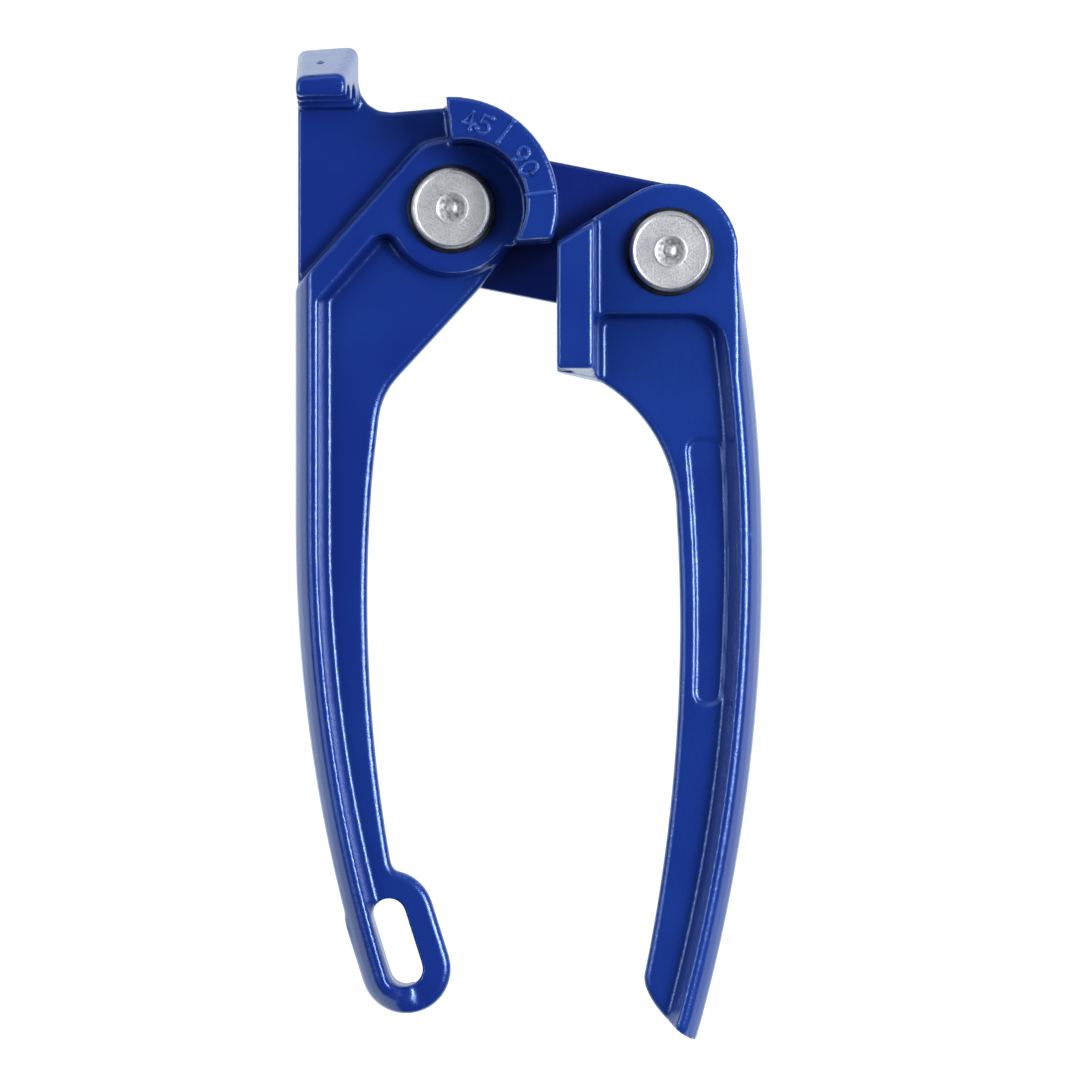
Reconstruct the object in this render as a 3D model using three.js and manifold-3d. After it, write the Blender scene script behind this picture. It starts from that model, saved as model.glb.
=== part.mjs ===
// Plier-type bender for small metal tube, laid on its back: millimetres, +Z up.
// The origin is on the axis of the former's pin, on the plane that the tool lies on.
// X points from the fixed grip to the lever grip, Y points away from the grips.
// The grips are closed, as at the end of a quarter-turn bend.
import * as THREE from "three";
import { mergeVertices } from "three/addons/utils/BufferGeometryUtils.js";
import Module from "manifold-3d";

const wasm = await Module();
wasm.setup();

// Linkage
const pivotSpan = 43.2; // between the two pin axes
const restDrop = 11.1; // degrees that the link points below X with the grips closed

// Stack along the pins, from the back
const pinTail = 0.8; // pin behind its retaining ring
const clipThickness = 1.0;
const washerThickness = 0.8;
const linkThickness = 4.0;
const runningGap = 0.3; // between the link and each casting
const bossThickness = 8.1;
const plateThickness = 4.1; // of the plate that carries the hook
const webThickness = 3.6; // of both grips between their rims
const headThickness = 2.5;

// Pins, washers and rings
const pinRadius = 5.0;
const turningFit = 0.08; // radial play of a bore that turns on its pin
const washerFit = 0.25;
const headRadius = 7.85;
const headChamfer = 0.45;
const headRingRadius = 3.2; // of the shallow turned ring on a head
const headRingDepth = 0.25;
const headPipRadius = 0.9;
const washerRadius = 8.6;
const ringGrooveDepth = 0.9;
const clipRadius = 7.4;
const clipMouth = 74; // degrees
const clipLip = 30; // degrees that each lip stands clear of the groove's floor
const clipStep = 10; // degrees over which it meets the floor

// Grooves for two tube sizes, the deeper one next to the plate
const wideGroove = 3.25; // radius, for tube of 6.35
const narrowGroove = 2.45; // radius, for tube of 4.76
const landWidth = 2.5; // flat beside each groove

// Former
const landRadius = 20.7;
const hollowRadius = 12.4; // of the round hollow inside the former
const hollowCentre = new THREE.Vector2(2.2, 0.2);
const formerStart = 0.85; // its flat start, left of the pivot, at the front
const formerStartDraft = 0.4; // how far that face stands out at the plate
const formerStartLean = 7; // degrees
const formerCut = 6.6; // its flat end, below the pivot, at the middle of its wall
const formerEndLean = 3; // degrees
const edgeBreak = 0.5; // chamfer on the free edges of former, hook and shoe

// Hook that holds the tube's tail
const hookLeft = 30.2; // its outer side, left of the pivot
const hookWidth = 11.8;
const hookRise = 10.9; // at its root, above the groove line
const hookTipRise = 4.0;
const hookTipDraft = [0.5, 1.7]; // drawn in at the tip, on its outer and inner side
const hookFaceDraft = 0.9; // how far its face to the tube stands out at the plate
const hookLean = 4; // degrees that its back rises to the right
const hookCorner = 1.8;
const saddleDepth = 2.0; // the plate's edge below the groove line, at the hook
const saddleRadius = 6.0;
const plateEdgeRadius = 0.6;

// Raised band from the boss to the fixed grip
const bandOffset = 12.8; // its outer edge from the pivot
const bandAngle = 48.5; // degrees from X
const bandWidth = 5.1;
const bandFillet = 2.8; // inner corner between the band and the boss
const bossRadius = 12.3;
const crownRadius = 13.7; // of the boss between the band and the former
const bossFlare = 1.0; // how far the foot of a drafted wall stands out

// Fixed grip
const gripEdge = 30.8; // its outer edge, left of the pivot
const gripWidth = 14.2;
const gripStraight = 61.5; // where its outer edge starts to curve, below the pivot
const gripInnerRadius = 293;
const gripInnerDepth = 76; // narrowest point of the inner edge, below the pivot
const elbowDepth = 36; // where the neck meets the inner edge, below the pivot
const elbowRadius = 14;
const neckRadius = 3;
const shoulderDrop = 12; // the inner edge ends this far above the loop's upper centre
const shoulderRadius = 2.9; // inner corner between the grip and the loop
const shoulderAngle = 60; // degrees, where the loop leaves that corner
const neckTop = 11.9; // right end of the neck's slope, at the former's flat end
const neckFoot = new THREE.Vector2(5.4, -15.1); // lower end of that slope

// Hanging loop at the end of the fixed grip
const loopLeft = 10.7; // its centre, left of the pivot
const loopDrop = 143; // its centre, below the pivot
const loopTilt = 17.5; // degrees
const slotLength = 17.6;
const slotWidth = 6.5;
const loopWall = 5.5;
const loopRimSweep = 100; // degrees that the rim runs round the loop
const loopRimLevel = 20; // degrees of that which it keeps its full height

// Section of the rim on both grips
const rimHeightAbove = 15; // front of the rim, over the back plane
const sideDraft = 3.0; // how far its faces are drawn in from its belly
const rimTop = 1.7;
const rimFoot = 1.8; // width of the sloping inner wall
const rimRound = 0.35;
const edgeRound = 1.3; // of the grips' free inner edges

// Lever grip, measured from the lever pivot
const leverBossRadius = 13.4;
const leverTopAngle = 31; // degrees of the edge from the boss down to the shoe
const leverSeamAngle = 25; // degrees below X where the boss runs into the rim
const leverReach = 18.35; // its outer edge, outside the lever pivot
const leverBelly = 60.2; // widest point, below the lever pivot
const leverOuterRadius = 345;
const leverWidth = 16.2;
const leverInnerRadius = 340;
const leverInnerDepth = 72.7;
const palmRadius = 30;
const palmDepth = 51; // centre of the palm's curve, below the lever pivot
const palmEnd = 67; // degrees
const leverLength = 154;
const tipRun = 12.4; // height of the tip's round
const tipFall = 4.5; // how far down the inner edge's direction pulls that round
const tipToe = new THREE.Vector2(3.8, 1.5); // how the round comes in at its low end
const sideRampLength = 24; // over which the rim's drafted side grows

// Shoe that presses the tube round the former
const shoeInset = 0.3; // the shoe's face inside the former's land
const shoeDrop = 23.2; // its lower end, below the lever pivot
const shoeWidth = 7.1; // at its front
const shoeRootWidth = 8.0;
const shoeEndDraft = 1.6;
const shoePadWidth = 7.8; // raised strip that the shoe stands on

// Recess between the shoe, the boss and the rim, and the shallow pocket below it
const recessDrop = 11.9; // its upper edge, below the lever pivot
const recessCorner = 6.5;
const recessSmallCorner = 1.8;
const recessWallRun = 12; // raised wall beside the rim, below the recess's upper edge
const pocketDrop = 36; // upper end, below the lever pivot
const pocketLength = 52.5;
const pocketLip = 2.9; // flat left between the pocket and the inner edge
const pocketDepth = 0.5;
const pocketCorner = 2.6;

// Link plate
const linkRadius = 13.6;
const linkChamfer = 0.5;
const linkClearance = 0.7; // kept by the lever's rim round the link's end

// How finely round forms are cut, and what cuts run past the faces that they open
const roundSteps = 36;
const arcSteps = 16;
const cornerSteps = 4;
const overrun = 2;
const overrunAngle = 6; // degrees
const weldDistance = 1e-4;

// Shares that hold a rounding or a slope back where there is little room
const filletShare = 0.49; // of a corner's shorter side
const edgeShare = 0.45; // of a plate's thickness
const mitreShare = 0.3; // of the miter's full length at a sharp corner
const palmReachShare = 0.9; // of the palm's radius

// Heights worked out from the stack
const backWasherBack = pinTail + clipThickness;
const linkBack = backWasherBack + washerThickness;
const castingBack = linkBack + linkThickness + runningGap;
const bossFront = castingBack + bossThickness;
const plateFront = castingBack + plateThickness;
const webFront = castingBack + webThickness;
const headBack = bossFront + washerThickness;
const headFront = headBack + headThickness;
const wideGrooveZ = plateFront + landWidth + wideGroove;
const narrowGrooveZ = wideGrooveZ + wideGroove + landWidth + narrowGroove;
const toolFront = narrowGrooveZ + narrowGroove + landWidth;

// Places worked out from the sizes
const turn = THREE.MathUtils.degToRad;
const leverPivot = new THREE.Vector2(
  pivotSpan * Math.cos(turn(restDrop)),
  -pivotSpan * Math.sin(turn(restDrop)),
);
const shoeFace = landRadius - shoeInset;
const wallMiddle = (landRadius + hollowRadius + hollowCentre.x) / 2; // of the former's wall, at X
const bandNormal = new THREE.Vector2(-Math.sin(turn(bandAngle)), Math.cos(turn(bandAngle)));
const bandAlong = new THREE.Vector2(Math.cos(turn(bandAngle)), Math.sin(turn(bandAngle)));
const rimInset = sideDraft + rimTop; // inner edge of the rim's top
const rimFootInset = rimInset + rimFoot;
const hiddenInset = sideDraft + rimRound; // seams that end inside the rim

// A closed geometry becomes a solid that can be joined and cut.
function solidOf(geometry) {
  const bare = geometry.clone();
  bare.deleteAttribute("normal");
  bare.deleteAttribute("uv");
  const merged = mergeVertices(bare, weldDistance);
  return new wasm.Manifold(
    new wasm.Mesh({
      numProp: 3,
      vertProperties: merged.attributes.position.array,
      triVerts: new Uint32Array(merged.index.array),
    }),
  );
}

// A solid becomes a geometry again.
function geometryOf(solid) {
  const mesh = solid.getMesh();
  const geometry = new THREE.BufferGeometry();
  geometry.setAttribute("position", new THREE.BufferAttribute(mesh.vertProperties, 3));
  geometry.setIndex(new THREE.BufferAttribute(mesh.triVerts, 1));
  geometry.computeVertexNormals();
  return geometry;
}

function joined(solids) {
  return solids.reduce((whole, piece) => whole.add(piece));
}

// Points on an arc, both ends included; angles in degrees.
function arc(centreX, centreY, radius, from, to, steps = arcSteps) {
  const points = [];
  for (let i = 0; i <= steps; i++) {
    const angle = turn(from + ((to - from) * i) / steps);
    points.push(
      new THREE.Vector2(centreX + radius * Math.cos(angle), centreY + radius * Math.sin(angle)),
    );
  }
  return points;
}

// Closed outline with its corners rounded; a corner is [x, y, radius] or a plain point.
// A radius is held back where its two sides are too short for it.
function rounded(corners) {
  const points = [];
  const at = (i) => {
    const corner = corners[(i + corners.length) % corners.length];
    return corner.isVector2 ? corner : new THREE.Vector2(corner[0], corner[1]);
  };
  corners.forEach((corner, i) => {
    const here = at(i);
    const radius = corner.isVector2 ? 0 : corner[2] || 0;
    if (!radius) {
      points.push(here);
      return;
    }
    const back = at(i - 1).clone().sub(here);
    const ahead = at(i + 1).clone().sub(here);
    const half = Math.acos(back.dot(ahead) / (back.length() * ahead.length())) / 2;
    const most = Math.min(back.length(), ahead.length()) * filletShare;
    const reach = Math.min(radius / Math.tan(half), most);
    const start = here.clone().addScaledVector(back.normalize(), reach);
    const end = here.clone().addScaledVector(ahead.normalize(), reach);
    const bisector = back.add(ahead).normalize();
    const centre = here.clone().addScaledVector(bisector, reach / Math.cos(half));
    const fromAngle = start.clone().sub(centre).angle();
    let sweep = end.clone().sub(centre).angle() - fromAngle;
    if (sweep > Math.PI) sweep -= 2 * Math.PI;
    if (sweep < -Math.PI) sweep += 2 * Math.PI;
    const size = start.distanceTo(centre);
    for (let k = 0; k <= cornerSteps; k++) {
      const angle = fromAngle + (sweep * k) / cornerSteps;
      points.push(
        new THREE.Vector2(centre.x + size * Math.cos(angle), centre.y + size * Math.sin(angle)),
      );
    }
  });
  return points;
}

// Triangles that close one end of a skin. A drawn-in outline can touch itself where it is
// narrow, so the middle outline, which has the same points in order, then gives the faces.
function capFaces(rings, level) {
  const own = THREE.ShapeUtils.triangulateShape([...rings[level].points], []);
  if (own.length === rings[level].points.length - 2) return own;
  const middle = rings[Math.floor(rings.length / 2)];
  return THREE.ShapeUtils.triangulateShape([...middle.points], []);
}

// Skin through outlines at rising heights; every outline has as many points as the first.
function loft(levels) {
  const count = levels[0].points.length;
  const clockwise = THREE.ShapeUtils.isClockWise(levels[0].points);
  const rings = levels.map(({ z, points }) => ({
    z,
    points: clockwise ? [...points].reverse() : points,
  }));
  const positions = rings.flatMap(({ z, points }) => points.flatMap((p) => [p.x, p.y, z]));
  const index = [];
  for (let level = 0; level < rings.length - 1; level++) {
    for (let i = 0; i < count; i++) {
      const a = level * count + i;
      const b = level * count + ((i + 1) % count);
      index.push(a, b, b + count, a, b + count, a + count);
    }
  }
  const lastStart = (rings.length - 1) * count;
  for (const [a, b, c] of capFaces(rings, 0)) index.push(c, b, a);
  for (const [a, b, c] of capFaces(rings, rings.length - 1)) {
    index.push(lastStart + a, lastStart + b, lastStart + c);
  }
  const geometry = new THREE.BufferGeometry();
  geometry.setAttribute("position", new THREE.Float32BufferAttribute(positions, 3));
  geometry.setIndex(index);
  return solidOf(geometry);
}

// Skin along rings of points that share one section; the flat section closes both ends.
function sweep(rings, section) {
  const count = section.length;
  const positions = rings.flatMap((ring) => ring.flatMap((p) => [p.x, p.y, p.z]));
  const index = [];
  for (let step = 0; step < rings.length - 1; step++) {
    for (let i = 0; i < count; i++) {
      const a = step * count + i;
      const b = step * count + ((i + 1) % count);
      index.push(a, b + count, b, a, a + count, b + count);
    }
  }
  const lastStart = (rings.length - 1) * count;
  for (const [a, b, c] of THREE.ShapeUtils.triangulateShape([...section], [])) {
    index.push(c, b, a);
    index.push(lastStart + a, lastStart + b, lastStart + c);
  }
  const geometry = new THREE.BufferGeometry();
  geometry.setAttribute("position", new THREE.Float32BufferAttribute(positions, 3));
  geometry.setIndex(index);
  return solidOf(geometry);
}

function prism(points, zLow, zHigh) {
  return loft([
    { z: zLow, points },
    { z: zHigh, points },
  ]);
}

// The same outline moved inwards, corner by corner; it keeps its number of points.
function drawnIn(points, distance) {
  const inward = THREE.ShapeUtils.isClockWise(points) ? -1 : 1;
  return points.map((here, i) => {
    const back = points[(i + points.length - 1) % points.length];
    const ahead = points[(i + 1) % points.length];
    const first = here.clone().sub(back).normalize();
    const second = ahead.clone().sub(here).normalize();
    const spread = Math.max(1 + first.dot(second), mitreShare);
    const sum = first.add(second).multiplyScalar((inward * distance) / spread);
    return new THREE.Vector2(here.x - sum.y, here.y + sum.x);
  });
}

// Share of a rounded edge's height, and share that the outline is drawn in there.
const roundEdgeShares = [
  [0, 1],
  [0.08, 0.6],
  [0.35, 0.24],
  [0.65, 0.06],
  [1, 0],
];

// Plate with its edges rounded on both faces; its outline is met at mid height.
function roundedPlate(points, zLow, zHigh, radius) {
  const edge = Math.min(radius, (zHigh - zLow) * edgeShare);
  const below = roundEdgeShares.map(([height, inset]) => ({
    z: zLow + edge * height,
    points: drawnIn(points, edge * inset),
  }));
  const above = roundEdgeShares.map(([height, inset]) => ({
    z: zHigh - edge * height,
    points: drawnIn(points, edge * inset),
  }));
  return loft([...below, ...above.reverse()]);
}

// Upright cylinder or cone on a pin's axis.
function post(place, radiusLow, radiusHigh, zLow, zHigh) {
  const geometry = new THREE.CylinderGeometry(
    radiusHigh,
    radiusLow,
    zHigh - zLow,
    roundSteps,
  );
  geometry.rotateX(Math.PI / 2);
  geometry.translate(place.x, place.y, (zLow + zHigh) / 2);
  return solidOf(geometry);
}

// Round bar along X or Y, for cutting a groove.
function groovingBar(radius, length, alongX) {
  const geometry = new THREE.CylinderGeometry(radius, radius, length, roundSteps / 2);
  if (alongX) geometry.rotateZ(Math.PI / 2);
  return geometry;
}

// Height of the band's outer edge, or of a line a given offset from the pivot, at x.
function bandLine(x, offset = bandOffset) {
  return (offset - x * bandNormal.x) / bandNormal.y;
}

// Loop ends: centres of the rounded ends of the hanging slot.
const loopCentre = new THREE.Vector2(-loopLeft, -loopDrop);
const loopAlong = new THREE.Vector2(Math.sin(turn(loopTilt)), -Math.cos(turn(loopTilt)));
const loopHalf = (slotLength - slotWidth) / 2;
const loopLow = loopCentre.clone().addScaledVector(loopAlong, loopHalf);
const loopHigh = loopCentre.clone().addScaledVector(loopAlong, -loopHalf);
const loopRadius = slotWidth / 2 + loopWall;

// The fixed grip's outer edge leaves its straight part and runs on into the loop.
const gripAcross = loopLow.x + gripEdge;
const gripDown = -loopLow.y - gripStraight;
const gripOuterRadius =
  (gripAcross ** 2 + gripDown ** 2 - loopRadius ** 2) / (2 * (gripAcross - loopRadius));
const gripArcCentre = new THREE.Vector2(gripOuterRadius - gripEdge, -gripStraight);
const gripEndAngle =
  180 + THREE.MathUtils.radToDeg(Math.atan2(gripDown, gripArcCentre.x - loopLow.x));

// Outer edge of the fixed grip, a given distance inside it, from the band to the loop.
function gripOuter(inset) {
  const x = inset - gripEdge;
  return [
    new THREE.Vector2(x, bandLine(x)),
    ...arc(gripArcCentre.x, gripArcCentre.y, gripOuterRadius - inset, 180, gripEndAngle),
  ];
}

// The same edge, carried on round the loop's end by a sweep in degrees.
function gripOuterRound(inset, sweep) {
  const round = arc(
    loopLow.x,
    loopLow.y,
    loopRadius - inset,
    gripEndAngle,
    gripEndAngle + sweep,
  );
  return [...gripOuter(inset), ...round.slice(1)];
}

// The rim's section: share of its height, share of the side's draft, share of the foot.
const rimSectionShares = [
  [0, 1, 0],
  [0.05, 0.78, 0.1],
  [0.2, 0.38, 0.4],
  [0.35, 0.1, 0.8],
  [0.5, 0, 1],
  [0.7, 0.1, 1],
  [0.84, 0.42, 0.45],
  [0.96, 0.82, 0.08],
  [1, 1, 0],
];

// The rim follows the grip and fades into the loop's face on its way round the loop's end.
function fixedRim() {
  const rows = rimSectionShares.map(([height, draft, foot]) => {
    const outer = sideDraft * draft + (height === 0 || height === 1 ? rimRound : 0);
    const inner = rimInset + rimFoot * foot;
    return {
      z: height * rimHeightAbove,
      outside: gripOuterRound(outer, loopRimSweep),
      inside: gripOuterRound(inner, loopRimSweep),
    };
  });
  const count = rows[0].outside.length;
  const rings = [];
  for (let i = 0; i < count; i++) {
    const swept = (loopRimSweep * (i - (count - 1 - arcSteps))) / arcSteps;
    const sunk = THREE.MathUtils.smoothstep(swept, loopRimLevel, loopRimSweep);
    const heightOf = (z) => z - Math.max(0, z - webFront) * sunk;
    const outer = rows.map((row) => ({ ...row.outside[i], z: heightOf(row.z) }));
    const inner = rows.map((row) => ({ ...row.inside[i], z: heightOf(row.z) }));
    rings.push([...outer, ...inner.reverse()]);
  }
  const section = rows.map((row) => new THREE.Vector2(row.outside[0].x, row.z));
  const innerSection = rows.map((row) => new THREE.Vector2(row.inside[0].x, row.z));
  return sweep(rings, [...section, ...innerSection.reverse()]);
}

// Inner edge of the fixed grip at a height y.
function gripInnerX(y) {
  const centreX = gripInnerRadius + gripWidth - gripEdge;
  return centreX - Math.sqrt(gripInnerRadius ** 2 - (y + gripInnerDepth) ** 2);
}

// Height of the former's flat end at x; it rises a little to the right.
function formerEndY(x) {
  return (x - wallMiddle) * Math.tan(turn(formerEndLean)) - formerCut;
}

// Edge of the fixed handle that faces the lever, from the loop's shoulder to the former.
function gapSideEdge() {
  const centreX = gripInnerRadius + gripWidth - gripEdge;
  const low = loopHigh.y + shoulderDrop;
  const angleAt = (y) =>
    180 - THREE.MathUtils.radToDeg(Math.asin((y + gripInnerDepth) / gripInnerRadius));
  const run = arc(
    centreX,
    -gripInnerDepth,
    gripInnerRadius,
    angleAt(low),
    angleAt(-elbowDepth - elbowRadius),
  );
  return [
    ...run,
    [gripInnerX(-elbowDepth), -elbowDepth, elbowRadius],
    [neckFoot.x, neckFoot.y, neckRadius],
    [neckTop, formerEndY(neckTop), 0],
    [wallMiddle, formerEndY(wallMiddle), 0],
  ];
}

function fixedWeb() {
  const shoulder = arc(loopHigh.x, loopHigh.y, loopRadius, shoulderAngle, 90, 1)[0];
  const bandInside = bandOffset - bandWidth / 2;
  const bandFoot = bandNormal.clone().multiplyScalar(bandInside);
  const outline = rounded([
    ...gripOuter(hiddenInset).slice(1),
    loopLow,
    loopHigh,
    shoulder,
    [gripInnerX(loopHigh.y + loopRadius), loopHigh.y + loopRadius, shoulderRadius],
    ...gapSideEdge(),
    [pinRadius, 0, 0],
    bandFoot,
    [hiddenInset - gripEdge, bandLine(hiddenInset - gripEdge, bandInside), 0],
  ]);
  return roundedPlate(outline, castingBack, webFront, edgeRound);
}

function hangingLoop() {
  const outline = [
    ...arc(loopLow.x, loopLow.y, loopRadius, 180 + loopTilt, 360 + loopTilt),
    ...arc(loopHigh.x, loopHigh.y, loopRadius, loopTilt, 180 + loopTilt),
  ];
  return roundedPlate(outline, castingBack, webFront, edgeRound);
}

function hangingSlot() {
  const outline = [
    ...arc(loopLow.x, loopLow.y, slotWidth / 2, 180 + loopTilt, 360 + loopTilt),
    ...arc(loopHigh.x, loopHigh.y, slotWidth / 2, loopTilt, 180 + loopTilt),
  ];
  return prism(outline, -overrun, rimHeightAbove + overrun);
}

// Boss and band stand over the web; their walls flare out towards their foot. A fillet joins
// them: its centre lies outside both, and its arc runs from the band's edge to the boss.
function fixedBoss() {
  const cutAngle = 360 + THREE.MathUtils.radToDeg(Math.asin(formerEndY(wallMiddle) / wallMiddle));
  const startAngle = 360 + 90 - formerStartLean / 2;
  const crownAngle = 90 + bandAngle - THREE.MathUtils.radToDeg(Math.acos(bandOffset / crownRadius));
  const innerOffset = bandOffset - bandWidth;
  const filletOffset = innerOffset - bandFillet;
  const filletAlong = -Math.sqrt((bossRadius + bandFillet) ** 2 - filletOffset ** 2);
  const filletCentre = bandNormal
    .clone()
    .multiplyScalar(filletOffset)
    .addScaledVector(bandAlong, filletAlong);
  const filletAngle = THREE.MathUtils.radToDeg(filletCentre.angle());
  const left = hiddenInset - gripEdge;
  const levelAt = (z, flare) => ({
    z,
    points: [
      new THREE.Vector2(left, bandLine(left)),
      new THREE.Vector2(left, bandLine(left, innerOffset - flare)),
      ...arc(
        filletCentre.x,
        filletCentre.y,
        bandFillet - flare,
        90 + bandAngle,
        filletAngle - 180,
      ),
      ...arc(0, 0, bossRadius + flare, filletAngle, cutAngle - 2 * overrunAngle).slice(1),
      ...arc(0, 0, wallMiddle, cutAngle - overrunAngle, startAngle),
      ...arc(0, 0, crownRadius, startAngle, 360 + crownAngle),
    ],
  });
  const boss = loft([
    levelAt(castingBack, bossFlare),
    levelAt(webFront, bossFlare),
    levelAt(bossFront, 0),
  ]);
  return boss.subtract(gapSideCut());
}

// Everything on the lever's side of the fixed handle's edge.
function gapSideCut() {
  const far = pivotSpan + leverReach;
  const outline = rounded([
    ...gapSideEdge(),
    [far, formerEndY(far), 0],
    [far, loopHigh.y + shoulderDrop, 0],
  ]);
  return prism(outline, -overrun, toolFront + overrun);
}

function hookPlate() {
  const right = hookWidth - hookLeft;
  const lean = (hookWidth * Math.tan(turn(hookLean))) / 2;
  const outline = rounded([
    [-hookLeft, bandLine(-hookLeft), 0],
    [hiddenInset - gripEdge, bandLine(hiddenInset - gripEdge, bandOffset - bandWidth / 2), 0],
    bandNormal.clone().multiplyScalar(bandOffset - bandWidth / 2),
    [0, bossRadius, 0],
    [0, wallMiddle, 0],
    [-formerStart, landRadius - edgeBreak, 0],
    [right, landRadius - saddleDepth, saddleRadius],
    [right, landRadius + hookRise + lean, hookCorner],
    [-hookLeft, landRadius + hookRise - lean, hookCorner],
  ]);
  return roundedPlate(outline, castingBack, plateFront, plateEdgeRadius);
}

// Wedge that stands up from the plate and reaches over the tube's tail.
function hook() {
  const lean = Math.tan(turn(hookLean));
  const levelAt = (z, share, inset) => {
    const left = -hookLeft + hookTipDraft[0] * share + inset;
    const right = hookWidth - hookLeft - hookTipDraft[1] * share - inset;
    const middle = landRadius + hookRise + (hookTipRise - hookRise) * share - inset;
    const half = (right - left) / 2;
    const low = landRadius - hookFaceDraft * (1 - share) + inset;
    return {
      z,
      points: rounded([
        [left, low, hookCorner / 2],
        [right, low, hookCorner / 2],
        [right, middle + half * lean, hookCorner],
        [left, middle - half * lean, hookCorner],
      ]),
    };
  };
  const height = toolFront - plateFront;
  const wedge = loft([
    levelAt(castingBack, 0, plateEdgeRadius),
    levelAt(castingBack + plateEdgeRadius, 0, 0),
    levelAt(plateFront, 0, 0),
    levelAt(toolFront - edgeBreak, 1 - edgeBreak / height, 0),
    levelAt(toolFront, 1, edgeBreak),
  ]);
  const middleX = hookWidth / 2 - hookLeft;
  const bars = tubeBars(hookWidth + 2 * overrun, true, middleX, landRadius);
  return wedge.subtract(bars);
}

// Two bars at the tubes' places, to cut straight grooves round x, y.
function tubeBars(length, alongX, x, y) {
  const wide = groovingBar(wideGroove, length, alongX).translate(x, y, wideGrooveZ);
  const narrow = groovingBar(narrowGroove, length, alongX).translate(x, y, narrowGrooveZ);
  return solidOf(wide).add(solidOf(narrow));
}

// What is kept of the turned former: all right of its start and above its flat end.
function formerSector() {
  const far = landRadius + overrun;
  const levelAt = (z, draft) => {
    const startX = (y) => (landRadius - y) * Math.tan(turn(formerStartLean)) - formerStart - draft;
    return {
      z,
      points: [
        new THREE.Vector2(startX(0), 0),
        new THREE.Vector2(pinRadius, formerEndY(pinRadius)),
        new THREE.Vector2(far, formerEndY(far)),
        new THREE.Vector2(far, far),
        new THREE.Vector2(startX(far), far),
      ],
    };
  };
  return loft([
    levelAt(-overrun, formerStartDraft),
    levelAt(plateFront, formerStartDraft),
    levelAt(toolFront, 0),
    levelAt(toolFront + overrun, 0),
  ]);
}

// The former is turned, with two grooves; a sector of it is kept and hollowed out.
function former() {
  const grooveProfile = (radius, z) => arc(landRadius, z, radius, 270, 90, arcSteps);
  const profile = [
    new THREE.Vector2(pinRadius, castingBack),
    new THREE.Vector2(landRadius - edgeBreak, castingBack),
    new THREE.Vector2(landRadius, castingBack + edgeBreak),
    ...grooveProfile(wideGroove, wideGrooveZ),
    ...grooveProfile(narrowGroove, narrowGrooveZ),
    new THREE.Vector2(landRadius, toolFront - edgeBreak),
    new THREE.Vector2(landRadius - edgeBreak, toolFront),
    new THREE.Vector2(pinRadius, toolFront),
    new THREE.Vector2(pinRadius, castingBack),
  ];
  const turned = new THREE.LatheGeometry(profile, roundSteps * 2);
  turned.rotateX(Math.PI / 2);
  const hollow = post(hollowCentre, hollowRadius, hollowRadius, -overrun, toolFront + overrun);
  const brim = post(
    hollowCentre,
    hollowRadius,
    hollowRadius + edgeBreak + overrun,
    toolFront - edgeBreak,
    toolFront + overrun,
  );
  return solidOf(turned).intersect(formerSector()).subtract(hollow).subtract(brim);
}

function fixedHandle() {
  const bore = post(
    new THREE.Vector2(),
    pinRadius + turningFit,
    pinRadius + turningFit,
    -overrun,
    toolFront,
  );
  return joined([
    fixedRim(),
    fixedWeb(),
    hangingLoop(),
    fixedBoss(),
    hookPlate(),
    hook(),
    former(),
  ])
    .subtract(hangingSlot())
    .subtract(bore);
}

// Outer edge of the lever grip: its arc's centre, and a point on it at a height y.
const leverArcCentre = new THREE.Vector2(
  leverPivot.x + leverReach - leverOuterRadius,
  leverPivot.y - leverBelly,
);
const leverInnerCentre = new THREE.Vector2(
  leverPivot.x + leverReach - leverWidth - leverInnerRadius,
  leverPivot.y - leverInnerDepth,
);

function arcX(centre, radius, y) {
  return centre.x + Math.sqrt(radius ** 2 - (y - centre.y) ** 2);
}

function angleOn(centre, radius, y) {
  return THREE.MathUtils.radToDeg(Math.asin((y - centre.y) / radius));
}

function leverOuterX(y, inset = 0) {
  return arcX(leverArcCentre, leverOuterRadius - inset, y);
}

// Heights of the lever's tip and of the start of its round.
const tipY = leverPivot.y - leverLength;
const tipStartY = tipY + tipRun;

// Outer edge from the tip up to the lever pivot, drawn in by an inset that
// fades out over the last stretch below the boss.
function leverOuterEdge(inset, fade) {
  const points = [];
  for (let i = 0; i <= arcSteps * 2; i++) {
    const y = tipY + ((leverPivot.y - tipY) * i) / (arcSteps * 2);
    const share = Math.min(1, (leverPivot.y - y) / sideRampLength);
    const drawn = fade ? inset * share : inset;
    points.push(new THREE.Vector2(leverOuterX(y, drawn), y));
  }
  return points;
}

// Round of the tip, from the inner edge to the outer one.
function leverTip() {
  const start = new THREE.Vector2(arcX(leverInnerCentre, leverInnerRadius, tipStartY), tipStartY);
  const end = new THREE.Vector2(leverOuterX(tipY), tipY);
  const fall = new THREE.Vector2(start.x, start.y - tipFall);
  const toe = new THREE.Vector2(end.x - tipToe.x, end.y + tipToe.y);
  return new THREE.CubicBezierCurve(start, fall, toe, end).getPoints(arcSteps / 2);
}

// What lies below the tip's round.
function tipCut() {
  const round = leverTip();
  const outside = new THREE.Vector2(round.at(-1).x + overrun, tipY);
  const below = tipY - tipRun;
  const outline = [
    ...round,
    outside,
    new THREE.Vector2(outside.x, below),
    new THREE.Vector2(round[0].x - overrun, below),
    new THREE.Vector2(round[0].x - overrun, tipStartY),
  ];
  return prism(outline, -overrun, rimHeightAbove + overrun);
}

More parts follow.
